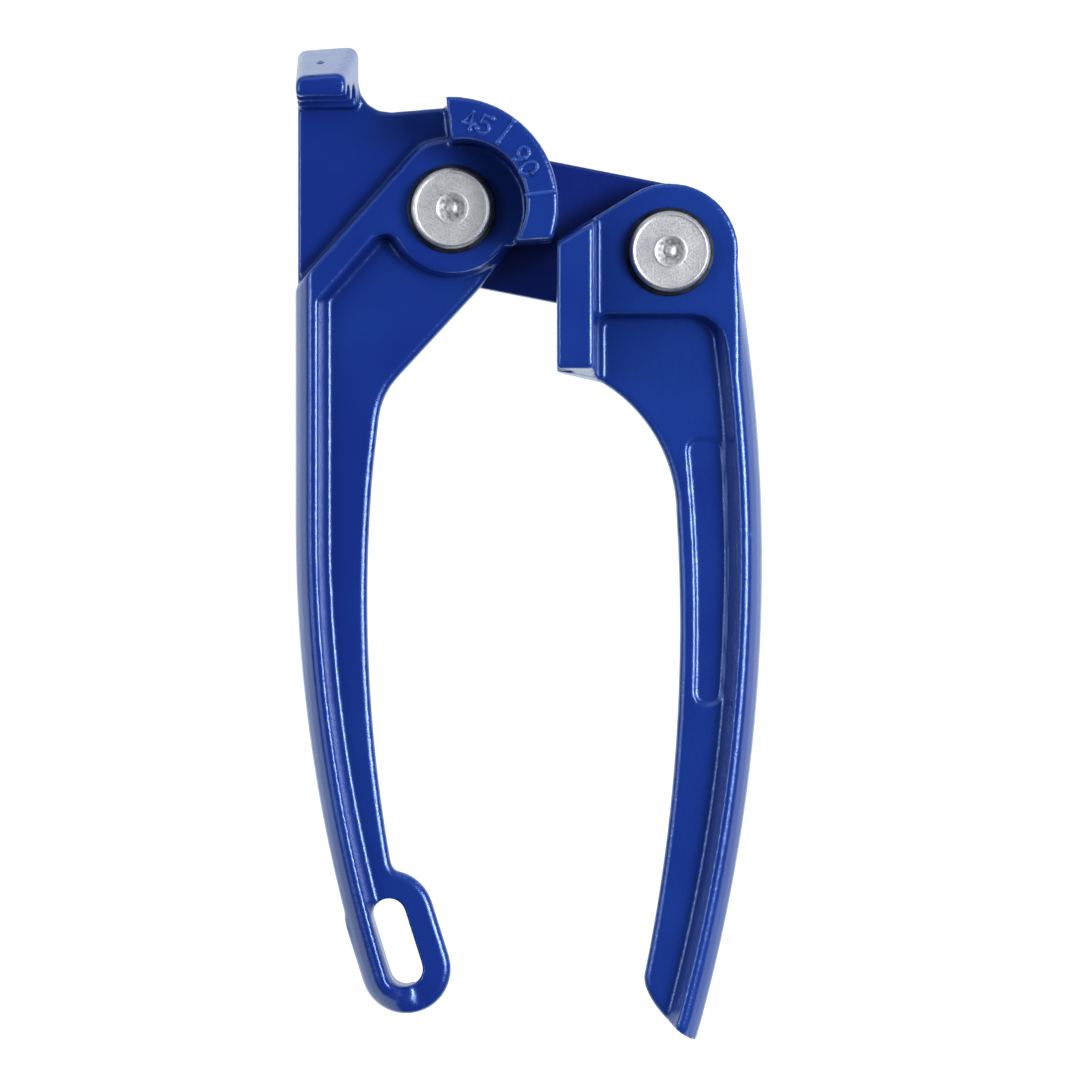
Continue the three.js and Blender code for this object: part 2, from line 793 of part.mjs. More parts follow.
function leverRim() {
  const strip = loft(
    rimSectionShares.map(([height, draft, foot]) => {
      const outer = sideDraft * draft + (height === 0 || height === 1 ? rimRound : 0);
      const inner = rimInset + rimFoot * foot;
      const rise = Math.abs(height - 0.5) * 2;
      const lift = (rise * rimTop) / 2;
      const outside = leverOuterEdge(outer, true);
      const inside = leverOuterEdge(inner, false).reverse();
      const tip = outside[0].clone().add(new THREE.Vector2(0, lift));
      const heel = inside.at(-1).clone().add(new THREE.Vector2(0, lift));
      return {
        z: height * rimHeightAbove,
        points: [tip, ...outside.slice(1), ...inside.slice(0, -1), heel],
      };
    }),
  );
  return strip.subtract(tipCut());
}

// Underside of the lever from the shoe to the tip: palm curve, then the long inner edge.
function leverInnerEdge() {
  const palmY = leverPivot.y - palmDepth;
  const palmX = arcX(leverInnerCentre, leverInnerRadius, palmY) - palmRadius;
  const low = angleOn(leverInnerCentre, leverInnerRadius, tipStartY);
  const high = angleOn(leverInnerCentre, leverInnerRadius, palmY);
  return [
    ...arc(palmX, palmY, palmRadius, palmEnd, 0).slice(0, -1),
    ...arc(leverInnerCentre.x, leverInnerCentre.y, leverInnerRadius, high, low),
  ];
}

// Height of the lever's sloping top edge at x.
function leverTopLine(x) {
  const slope = turn(leverTopAngle);
  const touchX = leverPivot.x - leverBossRadius * Math.sin(slope);
  const touchY = leverPivot.y + leverBossRadius * Math.cos(slope);
  return touchY - (touchX - x) * Math.tan(slope);
}

function leverWeb() {
  const outer = leverOuterEdge(hiddenInset, false);
  const inside = shoeFace + edgeRound;
  const outline = [
    new THREE.Vector2(inside, leverPivot.y - shoeDrop + edgeRound),
    ...leverInnerEdge(),
    ...leverTip().slice(1),
    ...outer.slice(1, -1),
    new THREE.Vector2(leverPivot.x, leverPivot.y + leverBossRadius / 2),
    new THREE.Vector2(inside, leverTopLine(inside) - edgeRound),
  ];
  return roundedPlate(outline, castingBack, webFront, edgeRound);
}

// Lower corner of the raised pad under the shoe, on the palm's curve.
function shoePadEnd(x) {
  const palmY = leverPivot.y - palmDepth;
  const palmX = arcX(leverInnerCentre, leverInnerRadius, palmY) - palmRadius;
  const reach = Math.min(Math.abs(x - palmX), palmRadius * palmReachShare);
  return palmY + Math.sqrt(palmRadius ** 2 - reach ** 2);
}

// Boss, shoe pad and the wall beside the rim, round the recess.
function leverBoss() {
  const levelAt = (z, flare) => {
    const padX = shoeFace + shoePadWidth + flare;
    const topY = leverPivot.y - recessDrop - flare;
    const wallEnd = leverPivot.y - recessDrop - recessWallRun;
    const wallX = (y) => leverOuterX(y, rimInset + flare);
    const seamX = (y) => leverOuterX(y, hiddenInset);
    const seamY = leverPivot.y - leverBossRadius * Math.sin(turn(leverSeamAngle));
    return {
      z,
      points: rounded([
        [shoeFace, leverPivot.y - shoeDrop, edgeBreak],
        [padX, shoePadEnd(padX), 0],
        [padX, topY, recessSmallCorner],
        [wallX(topY), topY, recessCorner],
        [wallX(wallEnd), wallEnd, 0],
        [seamX(wallEnd), wallEnd, 0],
        [seamX(seamY), seamY, 0],
        ...arc(
          leverPivot.x,
          leverPivot.y,
          leverBossRadius,
          -leverSeamAngle,
          90 + leverTopAngle,
        ),
        [shoeFace, leverTopLine(shoeFace), edgeBreak],
      ]),
    };
  };
  return loft([
    levelAt(castingBack, bossFlare),
    levelAt(webFront, bossFlare),
    levelAt(bossFront, 0),
  ]);
}

// Block that stands up from the pad, with its two grooves in the face to the former.
function shoe() {
  const low = leverPivot.y - shoeDrop;
  const levelAt = (z, share, inset) => {
    const right = shoeFace + shoeRootWidth + (shoeWidth - shoeRootWidth) * share - inset;
    const left = shoeFace + inset;
    const draft = shoeEndDraft * share + inset;
    return {
      z,
      points: rounded([
        [left, low + inset, edgeBreak],
        [right, low + inset - (1 - share) * shoeEndDraft, edgeBreak],
        [right, leverTopLine(right) - draft, edgeBreak],
        [left, leverTopLine(left) - draft, edgeBreak],
      ]),
    };
  };
  const block = loft([
    levelAt(castingBack, 0, 0),
    levelAt(plateFront, 0, 0),
    levelAt(toolFront - edgeBreak, 1, 0),
    levelAt(toolFront, 1, edgeBreak),
  ]);
  const bars = tubeBars(2 * shoeDrop + 2 * overrun, false, shoeFace, leverPivot.y - shoeDrop / 2);
  return block.subtract(bars);
}

// Shallow pocket along the web, parallel to the grip's two edges.
function leverPocket() {
  const top = leverPivot.y - pocketDrop;
  const low = top - pocketLength;
  const left = (y) => arcX(leverInnerCentre, leverInnerRadius + pocketLip, y);
  const right = (y) => leverOuterX(y, rimFootInset + pocketDepth);
  const steps = arcSteps / 2;
  const corners = [
    [left(low), low, pocketCorner],
    [right(low), low, pocketCorner],
  ];
  for (let i = 1; i < steps; i++) {
    const y = low + (pocketLength * i) / steps;
    corners.push([right(y), y, 0]);
  }
  corners.push([right(top), top, pocketCorner], [left(top), top, pocketCorner]);
  for (let i = steps - 1; i > 0; i--) {
    const y = low + (pocketLength * i) / steps;
    corners.push([left(y), y, 0]);
  }
  return prism(rounded(corners), webFront - pocketDepth, webFront + overrun);
}

function leverHandle() {
  const clearance = linkRadius + linkClearance;
  const bore = post(
    leverPivot,
    pinRadius + turningFit,
    pinRadius + turningFit,
    -overrun,
    toolFront,
  );
  return joined([leverRim(), leverWeb(), leverBoss(), shoe()])
    .subtract(leverPocket())
    .subtract(post(leverPivot, clearance, clearance, -overrun, castingBack))
    .subtract(bore);
}

// Flat bar behind both castings, with round ends about the two pins.
function linkPlate() {
  const outline = [
    ...arc(0, 0, linkRadius, 90 - restDrop, 270 - restDrop),
    ...arc(leverPivot.x, leverPivot.y, linkRadius, -90 - restDrop, 90 - restDrop),
  ];
  const plate = roundedPlate(outline, linkBack, linkBack + linkThickness, linkChamfer);
  const holes = [new THREE.Vector2(), leverPivot].map((place) =>
    post(place, pinRadius + turningFit, pinRadius + turningFit, -overrun, toolFront),
  );
  return plate.subtract(holes[0]).subtract(holes[1]);
}

// Pin: turned head with a shallow ring and a centre pip, shank, groove for its ring.
function pin() {
  const neck = pinRadius - ringGrooveDepth;
  const profile = [
    [0, 0],
    [neck, 0],
    [pinRadius - headChamfer, 0],
    [pinRadius, headChamfer],
    [pinRadius, pinTail],
    [neck, pinTail],
    [neck, backWasherBack],
    [pinRadius, backWasherBack],
    [pinRadius, headBack],
    [headRadius, headBack],
    [headRadius, headFront - headChamfer],
    [headRadius - headChamfer, headFront],
    [headRingRadius + headRingDepth, headFront],
    [headRingRadius, headFront - headRingDepth],
    [headPipRadius + headRingDepth, headFront - headRingDepth],
    [headPipRadius, headFront],
    [0, headFront],
  ];
  const geometry = new THREE.LatheGeometry(
    profile.map(([radius, z]) => new THREE.Vector2(radius, z)),
    roundSteps,
  );
  geometry.rotateX(Math.PI / 2);
  return solidOf(geometry);
}

function washer(back) {
  const centre = new THREE.Vector2();
  const hole = pinRadius + washerFit;
  const front = back + washerThickness;
  const disc = post(centre, washerRadius, washerRadius, back, front);
  return disc.subtract(post(centre, hole, hole, back - overrun, front + overrun));
}

// Open retaining ring that snaps into the groove near the pin's tail.
function retainingRing() {
  const inner = pinRadius - ringGrooveDepth + turningFit;
  const half = clipMouth / 2;
  const lip = pinRadius + washerFit;
  const lipEnd = half + clipLip;
  const floorStart = lipEnd + clipStep;
  const outline = [
    ...arc(0, 0, clipRadius, half, 360 - half, roundSteps),
    ...arc(0, 0, lip, 360 - half, 360 - lipEnd, cornerSteps),
    ...arc(0, 0, inner, 360 - floorStart, floorStart, arcSteps),
    ...arc(0, 0, lip, lipEnd, half, cornerSteps),
  ];
  return prism(outline, pinTail, pinTail + clipThickness);
}

// Finishes
function glossEnamel(color) {
  return new THREE.MeshStandardMaterial({ color, roughness: 0.32, metalness: 0.15 });
}

function zincSteel() {
  return new THREE.MeshStandardMaterial({ color: 0xb4b6ba, roughness: 0.35, metalness: 1 });
}

function darkSteel() {
  return new THREE.MeshStandardMaterial({ color: 0x23262b, roughness: 0.5, metalness: 0.9 });
}

function part(name, solid, material, x = 0, y = 0) {
  const geometry = geometryOf(solid);
  const mesh = new THREE.Mesh(geometry, material);
  mesh.name = name;
  mesh.position.set(x, y, 0);
  return mesh;
}

// A pin with its two washers and its retaining ring.
function pinSet(name, place) {
  const set = new THREE.Group();
  set.position.set(place.x, place.y, 0);
  set.add(
    part(`${name}_pin`, pin(), zincSteel()),
    part(`${name}_front_washer`, washer(bossFront), darkSteel()),
    part(`${name}_back_washer`, washer(backWasherBack), zincSteel()),
    part(`${name}_retaining_ring`, retainingRing(), darkSteel()),
  );
  return set;
}

const bender = new THREE.Group();
bender.name = "tube_bender";
bender.add(
  part("fixed_handle", fixedHandle(), glossEnamel(0x1f3a93)),
  part("lever_handle", leverHandle(), glossEnamel(0x1f3a93)),
  part("link_plate", linkPlate(), glossEnamel(0x1a3187)),
  pinSet("former", new THREE.Vector2()),
  pinSet("lever", leverPivot),
);

export default bender;
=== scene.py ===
# %% [markdown]
# # A pliers-type tube bender, dressed for the camera
#
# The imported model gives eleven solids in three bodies: the fixed handle with its former, the
# link behind it, and the lever with its shoe. This lesson keeps every solid's place and size
# and gives each one the surface that the real piece has: enamel over a soft die casting,
# turned and zinc-plated steel, and dark spring steel.

# %% Load the frame
import math

import bmesh
import bpy
from mathutils import Matrix, Vector


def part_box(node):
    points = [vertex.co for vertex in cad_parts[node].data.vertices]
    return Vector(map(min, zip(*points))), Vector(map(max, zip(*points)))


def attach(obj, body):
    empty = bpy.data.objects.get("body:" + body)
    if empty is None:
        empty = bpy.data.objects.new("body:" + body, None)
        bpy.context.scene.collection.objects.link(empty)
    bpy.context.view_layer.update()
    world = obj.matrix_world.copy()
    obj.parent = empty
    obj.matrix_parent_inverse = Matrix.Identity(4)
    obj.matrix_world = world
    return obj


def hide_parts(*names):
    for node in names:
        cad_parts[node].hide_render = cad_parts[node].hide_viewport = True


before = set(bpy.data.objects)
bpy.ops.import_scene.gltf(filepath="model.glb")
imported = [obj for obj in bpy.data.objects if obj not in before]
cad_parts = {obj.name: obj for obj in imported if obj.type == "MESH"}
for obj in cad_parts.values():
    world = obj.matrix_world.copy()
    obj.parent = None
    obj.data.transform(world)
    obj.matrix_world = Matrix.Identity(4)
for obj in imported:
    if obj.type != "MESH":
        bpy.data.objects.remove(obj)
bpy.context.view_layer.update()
print("solids:", sorted(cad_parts))

# %% [markdown]
# Sizes are written in millimetres, as a maker would, in names that end in `_MM`, and are
# turned into metres where they meet Blender. Names that end in `_M`, and all places read from
# the solids, are in metres. The pins' places come from the solids themselves, so the turned
# parts need no fitting by eye.

# %% Units and landmarks
MM = 0.001


def middle(node):
    low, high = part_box(node)
    return (low + high) / 2


pin_axes = {name: middle(f"{name}_pin") for name in ("former", "lever")}
pin_bodies = {"former": "fixed", "lever": "link"}
former_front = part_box("fixed_handle")[1].z
for name, place in pin_axes.items():
    print(name, "pin axis at", [round(c / MM, 2) for c in place.xy])

# %% [markdown]
# ## Colours and nodes
#
# Colours are picked as sRGB hex values, the way a paint card gives them, and one function
# turns them into the linear numbers that the shader works with. A second small function
# adds a node, sets its options and connects its inputs, so that a material reads as a list
# of what lies on what.


# %% Colour and node helpers
def linear(hex_colour):
    channels = [int(hex_colour[i : i + 2], 16) / 255 for i in (1, 3, 5)]
    return tuple(
        c / 12.92 if c <= 0.04045 else ((c + 0.055) / 1.055) ** 2.4 for c in channels
    ) + (1.0,)


def add(tree, kind, inputs=None, **settings):
    """A node with its settings; an input is a value, or another node's output to link."""
    node = tree.nodes.new(kind)
    for key, value in settings.items():
        setattr(node, key, value)
    for key, value in (inputs or {}).items():
        if isinstance(value, bpy.types.NodeSocket):
            tree.links.new(value, node.inputs[key])
        else:
            node.inputs[key].default_value = value
    return node


def new_material(name):
    material = bpy.data.materials.new(name)
    material.use_nodes = True
    material.node_tree.nodes.clear()
    return material, material.node_tree


def finish_material(tree, shader):
    output = add(tree, "ShaderNodeOutputMaterial")
    tree.links.new(shader.outputs[0], output.inputs["Surface"])


def per_mm(size):
    """Noise scale that gives features of about this many millimetres."""
    return 1 / (size * MM)


print("helpers ready; a mid blue is", [round(c, 3) for c in linear("#1f3a93")[:3]])

# %% [markdown]
# ## Stoved enamel on a die casting
#
# The handles are aluminium die castings, sprayed and stoved with a glossy blue enamel. The
# eye reads a deep, saturated blue on the faces and light blue glints along every rounded
# edge. A plain blue gloss would read as moulded plastic, so the enamel is made of three
# things, with a cell for each: its colour, its clear top and its relief.
#
# The colour varies a little in wide patches. Over edges it is lighter: the enamel runs thin
# there, and the lighter colour is also a painted highlight. In corners and recesses it is
# darker, which is painted shade. Pointiness says how convex the mesh is: 0.5 on a flat,
# more on an edge and less in a corner. Ambient occlusion of the piece alone says how open
# a place is, from 0 at the bottom of a hole to 1 on an open face.

# %% Enamel: colour
SHADE_PATCH_MM = 28.0
EDGE_THIN_PAINT_AND_HIGHLIGHT = 0.25
PAINTED_CORNER_SHADE = 0.62
PAINTED_RECESS_SHADE = 0.4


def paint_colour(tree, place, edge, openness, deep, face, thin_paint_and_highlight):
    patches = add(
        tree,
        "ShaderNodeTexNoise",
        {"Vector": place, "Scale": per_mm(SHADE_PATCH_MM), "Detail": 2.0},
    ).outputs["Fac"]
    fullness = add(
        tree, "ShaderNodeMapRange", {"Value": patches, "From Min": 0.36, "From Max": 0.64}
    ).outputs["Result"]
    body_colour = add(
        tree,
        "ShaderNodeMix",
        {"Factor": fullness, "A": linear(deep), "B": linear(face)},
        data_type="RGBA",
    ).outputs["Result"]
    # Edges lighter: the enamel is thinner there, and the lighter colour is also a painted
    # highlight.
    thinness_and_highlight = add(
        tree,
        "ShaderNodeMapRange",
        {"Value": edge, "From Min": 0.52, "From Max": 0.62, "To Max": EDGE_THIN_PAINT_AND_HIGHLIGHT},
    ).outputs["Result"]
    edges_thin_and_highlit = add(
        tree,
        "ShaderNodeMix",
        {"Factor": thinness_and_highlight, "A": body_colour, "B": linear(thin_paint_and_highlight)},
        data_type="RGBA",
    ).outputs["Result"]
    # Painted shade in corners, where the pointiness is low.
    painted_shade_in_corners = add(
        tree,
        "ShaderNodeMapRange",
        {"Value": edge, "From Min": 0.41, "From Max": 0.49, "To Min": PAINTED_CORNER_SHADE},
    ).outputs["Result"]
    # Painted shade in recesses, where the ambient occlusion is low.
    painted_shade_in_recesses = add(
        tree,
        "ShaderNodeMapRange",
        {"Value": openness, "From Min": 0.2, "From Max": 0.85, "To Min": PAINTED_RECESS_SHADE},
    ).outputs["Result"]
    shade = add(
        tree, "ShaderNodeMath", {0: painted_shade_in_corners, 1: painted_shade_in_recesses}, operation="MULTIPLY"
    ).outputs["Value"]
    return add(
        tree, "ShaderNodeHueSaturation", {"Color": edges_thin_and_highlit, "Value": shade}
    ).outputs["Color"]


print("shade in corners:", PAINTED_CORNER_SHADE, "in recesses:", PAINTED_RECESS_SHADE)

# %% [markdown]
# The clear top mirrors what is round the tool. On a steep wall it would mirror the bright
# floor so strongly that the wall turned grey, and the real walls are blue: spray reaches
# walls and recesses less and falls dry there, so they carry less of it. Hands have rubbed the
# walls towards the ends of the grips duller still. The height of the surface's normal says
# how steep a place is, and the place along the tool says how near it is to the grips' ends.

# %% Enamel: clear top
COAT_IN_OPEN = 0.6
COAT_IN_RECESS = 0.2
COAT_LEFT_ON_WALL = 0.35
COAT_LEFT_AT_GRIP_END = 0.45
GRIP_START_MM = -85.0
GRIP_END_MM = -140.0


def clear_top(tree, place, normal, openness):
    """How much clear coat lies on each place."""
    in_open = add(
        tree,
        "ShaderNodeMapRange",
        {
            "Value": openness,
            "From Min": 0.35,
            "From Max": 0.8,
            "To Min": COAT_IN_RECESS,
            "To Max": COAT_IN_OPEN,
        },
    ).outputs["Result"]
    upward = add(tree, "ShaderNodeSeparateXYZ", {"Vector": normal}).outputs["Z"]
    on_walls = add(
        tree,
        "ShaderNodeMapRange",
        {"Value": upward, "From Min": 0.08, "From Max": 0.32, "To Min": COAT_LEFT_ON_WALL},
    ).outputs["Result"]
    along = add(tree, "ShaderNodeSeparateXYZ", {"Vector": place}).outputs["Y"]
    unhandled = add(
        tree,
        "ShaderNodeMapRange",
        {
            "Value": along,
            "From Min": GRIP_END_MM * MM,
            "From Max": GRIP_START_MM * MM,
            "To Min": COAT_LEFT_AT_GRIP_END,
        },
    ).outputs["Result"]
    on_rubbed_walls = add(
        tree, "ShaderNodeMath", {0: on_walls, 1: unhandled}, operation="MULTIPLY"
    ).outputs["Value"]
    flatness = add(
        tree, "ShaderNodeMapRange", {"Value": upward, "From Min": 0.45, "From Max": 0.8}
    ).outputs["Result"]
    by_slope = add(
        tree, "ShaderNodeMix", {"Factor": flatness, "A": on_rubbed_walls, "B": on_walls}
    ).outputs["Result"]
    return add(
        tree, "ShaderNodeMath", {0: in_open, 1: by_slope}, operation="MULTIPLY"
    ).outputs["Value"]


print("clear coat in recesses:", COAT_IN_RECESS, "on open faces:", COAT_IN_OPEN)

# %% [markdown]
# Three reliefs break up the glints, which would otherwise be clean lines: the slow waves
# that the die leaves, the grit-blasted skin below the paint, which shows most where the
# surface bends, and the fine orange peel of the sprayed enamel. Real blasting marks are about
# 0.3 mm across, hardly more than a pixel of the render, so they are drawn three times as
# coarse.

# %% Enamel: relief
UNDULATION_MM, UNDULATION_HEIGHT_MM = 7.0, 0.25
BLAST_MM, BLAST_HEIGHT_MM = 0.9, 0.16
ORANGE_PEEL_MM, ORANGE_PEEL_HEIGHT_MM = 0.9, 0.035
FLAT_POINTINESS = 0.5


def painted_relief(tree, place, edge):
    undulation = add(
        tree,
        "ShaderNodeTexNoise",
        {"Vector": place, "Scale": per_mm(UNDULATION_MM), "Detail": 1.0},
    ).outputs["Fac"]
    grit = add(
        tree,
        "ShaderNodeTexNoise",
        {"Vector": place, "Scale": per_mm(BLAST_MM), "Detail": 3.0, "Roughness": 0.6},
    ).outputs["Fac"]
    peel = add(
        tree,
        "ShaderNodeTexNoise",
        {"Vector": place, "Scale": per_mm(ORANGE_PEEL_MM), "Detail": 2.0, "Roughness": 0.45},
    ).outputs["Fac"]
    bend = add(
        tree, "ShaderNodeMath", {0: edge, 1: FLAT_POINTINESS}, operation="SUBTRACT"
    ).outputs["Value"]
    tightness = add(tree, "ShaderNodeMath", {0: bend}, operation="ABSOLUTE").outputs["Value"]
    grit_strength = add(
        tree,
        "ShaderNodeMapRange",
        {"Value": tightness, "From Min": 0.01, "From Max": 0.06, "To Min": 0.15, "To Max": 0.9},
    ).outputs["Result"]
    relief = None
    for height, rise, strength in (
        (undulation, UNDULATION_HEIGHT_MM, 0.35),
        (grit, BLAST_HEIGHT_MM, grit_strength),
        (peel, ORANGE_PEEL_HEIGHT_MM, 0.5),
    ):
        inputs = {"Height": height, "Distance": rise * MM, "Strength": strength}
        if relief is not None:
            inputs["Normal"] = relief
        relief = add(tree, "ShaderNodeBump", inputs).outputs["Normal"]
    return relief


print("grit marks:", BLAST_MM, "mm wide,", BLAST_HEIGHT_MM, "mm deep")

# %% [markdown]
# The paint below the clear top has a gloss of its own. It follows the coat and is tinted
# blue, and that gives the glints their light blue. The clear top is an acrylic with a low
# index, so the flats stay deep. The handles, the link and the figures each get their own
# shade: the link's is darker, a painted shade for the shadow it lies in under the castings,
# and the figures' is lighter, a painted highlight.

# %% Enamel: put together
RECESS_REACH_MM = 15.0
PAINT_ROUGHNESS = 0.24
PAINT_GLOSS_PER_COAT = 1.4
COAT_ROUGHNESS = 0.16
COAT_INDEX = 1.42


def stoved_enamel(name, deep, face, thin_paint_and_highlight):
    material, tree = new_material(name)
    place = add(tree, "ShaderNodeTexCoord").outputs["Object"]
    surface = add(tree, "ShaderNodeNewGeometry").outputs
    openness = add(
        tree,
        "ShaderNodeAmbientOcclusion",
        {"Distance": RECESS_REACH_MM * MM},
        only_local=True,
        samples=6,
    ).outputs["AO"]
    coat = clear_top(tree, place, surface["Normal"], openness)
    gloss = add(
        tree, "ShaderNodeMath", {0: coat, 1: PAINT_GLOSS_PER_COAT}, operation="MULTIPLY"
    ).outputs["Value"]
    relief = painted_relief(tree, place, surface["Pointiness"])
    colour = paint_colour(tree, place, surface["Pointiness"], openness, deep, face, thin_paint_and_highlight)
    shader = add(
        tree,
        "ShaderNodeBsdfPrincipled",
        {
            "Base Color": colour,
            "Roughness": PAINT_ROUGHNESS,
            "Specular IOR Level": gloss,
            "Specular Tint": linear("#8ab8ff"),
            "Normal": relief,
            "Coat Weight": coat,
            "Coat Roughness": COAT_ROUGHNESS,
            "Coat IOR": COAT_INDEX,
            "Coat Normal": relief,
        },
    )
    finish_material(tree, shader)
    print("enamel:", name, "nodes:", len(tree.nodes))
    return material


handle_enamel = stoved_enamel("stoved_blue_enamel", "#132c80", "#163688", "#3a6cc0")
# The link's darker blue is painted shade, for where it lies under the castings.
link_enamel = stoved_enamel("stoved_blue_enamel_darkened_as_painted_shade", "#0f2070", "#122678", "#2a4fa0")
# The figures' lighter blue is a painted highlight.
figure_enamel_painted_highlight = stoved_enamel("blue_enamel_lightened_as_painted_highlight", "#18348a", "#1d3e94", "#4474c4")

# %% [markdown]
# ## Turned steel
#
# The pins are turned on a lathe and zinc plated. Their heads are a satin light grey: the
# plating is speckled and slightly stained, and below it the facing cut has left rings about
# the pin's axis. In the drilled recess at the middle the cut has torn the metal, which looks
# dark in spots; the pip that stands in the recess is clean again.

# %% Steel: colour
PLATING_GRAIN_MM = 0.35
STAIN_MM = 2.4
TORN_SPOT_MM = 0.9
RECESS_EDGE_MM = (2.3, 2.9)
PIP_EDGE_MM = (0.7, 1.1)


def plated_colour(tree, place, distance, grain, light, dull):
    """Distance is how far a place is from the pin's axis."""
    stain = add(
        tree,
        "ShaderNodeTexNoise",
        {"Vector": place, "Scale": per_mm(STAIN_MM), "Detail": 4.0, "Roughness": 0.6},
    ).outputs["Fac"]
    brightness = add(
        tree, "ShaderNodeMapRange", {"Value": stain, "From Min": 0.32, "From Max": 0.66}
    ).outputs["Result"]
    face_colour = add(
        tree,
        "ShaderNodeMix",
        {"Factor": brightness, "A": linear(dull), "B": linear(light)},
        data_type="RGBA",
    ).outputs["Result"]
    inside_recess = add(
        tree,
        "ShaderNodeMapRange",
        {
            "Value": distance,
            "From Min": RECESS_EDGE_MM[0] * MM,
            "From Max": RECESS_EDGE_MM[1] * MM,
            "To Min": 1.0,
            "To Max": 0.0,
        },
    ).outputs["Result"]
    outside_pip = add(
        tree,
        "ShaderNodeMapRange",
        {
            "Value": distance,
            "From Min": PIP_EDGE_MM[0] * MM,
            "From Max": PIP_EDGE_MM[1] * MM,
        },
    ).outputs["Result"]
    drilled = add(
        tree, "ShaderNodeMath", {0: inside_recess, 1: outside_pip}, operation="MULTIPLY"
    ).outputs["Value"]
    torn = add(
        tree,
        "ShaderNodeTexNoise",
        {"Vector": place, "Scale": per_mm(TORN_SPOT_MM), "Detail": 2.0},
    ).outputs["Fac"]
    torn_shade = add(
        tree,
        "ShaderNodeMapRange",
        {"Value": torn, "From Min": 0.4, "From Max": 0.62, "To Min": 0.4, "To Max": 0.85},
    ).outputs["Result"]
    speckle = add(
        tree,
        "ShaderNodeMapRange",
        {"Value": grain, "From Min": 0.3, "From Max": 0.6, "To Min": 0.8, "To Max": 1.04},
    ).outputs["Result"]
    shade = add(
        tree, "ShaderNodeMix", {"Factor": drilled, "A": speckle, "B": torn_shade}
    ).outputs["Result"]
    return add(
        tree, "ShaderNodeHueSaturation", {"Color": face_colour, "Value": shade}
    ).outputs["Color"]


print("torn metal up to", RECESS_EDGE_MM[1], "mm from a pin's axis")

# %% [markdown]
# The rings of the facing cut are about a tenth of a millimetre apart, finer than a pixel of
# the render, so they are drawn three times as coarse. Each pin has its own copy of the
# material, because the rings are centred on its axis by a Mapping node. Handling has polished
# the edges a little. The washers and retaining rings round a pin share its axis: the back
# washers are plated too, and the rest is oiled dark steel. On the front washers that nearly
# black steel is also painted shade under each head, and it draws a nearly black ring round
# each pale head.

# %% Steel: put together
FACING_RING_MM, FACING_HEIGHT_MM = 0.32, 0.004
PLATING_HEIGHT_MM = 0.05
EDGE_POLISH = 0.16


def turned_steel(name, centre, light, dull):
    material, tree = new_material(name)
    place = add(tree, "ShaderNodeTexCoord").outputs["Object"]
    about_axis = add(
        tree,
        "ShaderNodeMapping",
        {"Vector": place, "Location": (-centre.x, -centre.y, 0.0), "Scale": (1.0, 1.0, 0.0)},
    ).outputs["Vector"]
    distance = add(
        tree, "ShaderNodeVectorMath", {0: about_axis}, operation="LENGTH"
    ).outputs["Value"]
    turns = add(
        tree,
        "ShaderNodeMath",
        {0: distance, 1: 2 * math.pi / (FACING_RING_MM * MM)},
        operation="MULTIPLY",
    ).outputs["Value"]
    rings = add(tree, "ShaderNodeMath", {0: turns}, operation="SINE").outputs["Value"]
    grain = add(
        tree,
        "ShaderNodeTexNoise",
        {"Vector": place, "Scale": per_mm(PLATING_GRAIN_MM), "Detail": 3.0},
    ).outputs["Fac"]
    edge = add(tree, "ShaderNodeNewGeometry").outputs["Pointiness"]
    polish = add(
        tree,
        "ShaderNodeMapRange",
        {"Value": edge, "From Min": 0.5, "From Max": 0.62, "To Max": EDGE_POLISH},
    ).outputs["Result"]
    satin = add(
        tree,
        "ShaderNodeMapRange",
        {"Value": grain, "From Min": 0.3, "From Max": 0.7, "To Min": 0.42, "To Max": 0.52},
    ).outputs["Result"]
    roughness = add(
        tree, "ShaderNodeMath", {0: satin, 1: polish}, operation="SUBTRACT"
    ).outputs["Value"]
    cut = add(
        tree,
        "ShaderNodeBump",
        {"Height": rings, "Distance": FACING_HEIGHT_MM * MM, "Strength": 0.3},
    ).outputs["Normal"]
    plated = add(
        tree,
        "ShaderNodeBump",
        {"Height": grain, "Distance": PLATING_HEIGHT_MM * MM, "Strength": 0.7, "Normal": cut},
    ).outputs["Normal"]
    colour = plated_colour(tree, place, distance, grain, light, dull)
    shader = add(
        tree,
        "ShaderNodeBsdfPrincipled",
        {"Base Color": colour, "Roughness": roughness, "Normal": plated, "Metallic": 1.0},
    )
    finish_material(tree, shader)
    return material


pin_steel = {
    name: turned_steel(f"turned_zinc_steel_{name}", place, "#dbd8d3", "#c9c7c6")
    for name, place in pin_axes.items()
}
dark_steel = {
    name: turned_steel(f"oiled_spring_steel_{name}", place, "#3b3d40", "#202226")
    for name, place in pin_axes.items()
}
print("steels:", [m.name for m in (*pin_steel.values(), *dark_steel.values())])

# %% [markdown]
# ## From a solid to a piece of the scene
#
# Every piece starts as a mesh of its own. Modifiers finish it and are then turned into plain
# mesh, and it is handed over with its material, its body and the solids that it stands for.
# A solid's mesh comes as loose triangles, so a copy of it is merged into one skin first.

# %% Copying, settling and handing over a piece
MERGE_MM = 0.001


def in_scene(name, mesh):
    piece = bpy.data.objects.new(name, mesh)
    bpy.context.scene.collection.objects.link(piece)
    return piece


def merged_copy(node, name):
    """A copy of a solid's mesh, as one closed skin."""
    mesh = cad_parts[node].data.copy()
    mesh.name = name
    mesh.materials.clear()
    skin = bmesh.new()
    skin.from_mesh(mesh)
    bmesh.ops.remove_doubles(skin, verts=skin.verts, dist=MERGE_MM * MM)
    skin.to_mesh(mesh)
    skin.free()
    return in_scene(name, mesh)


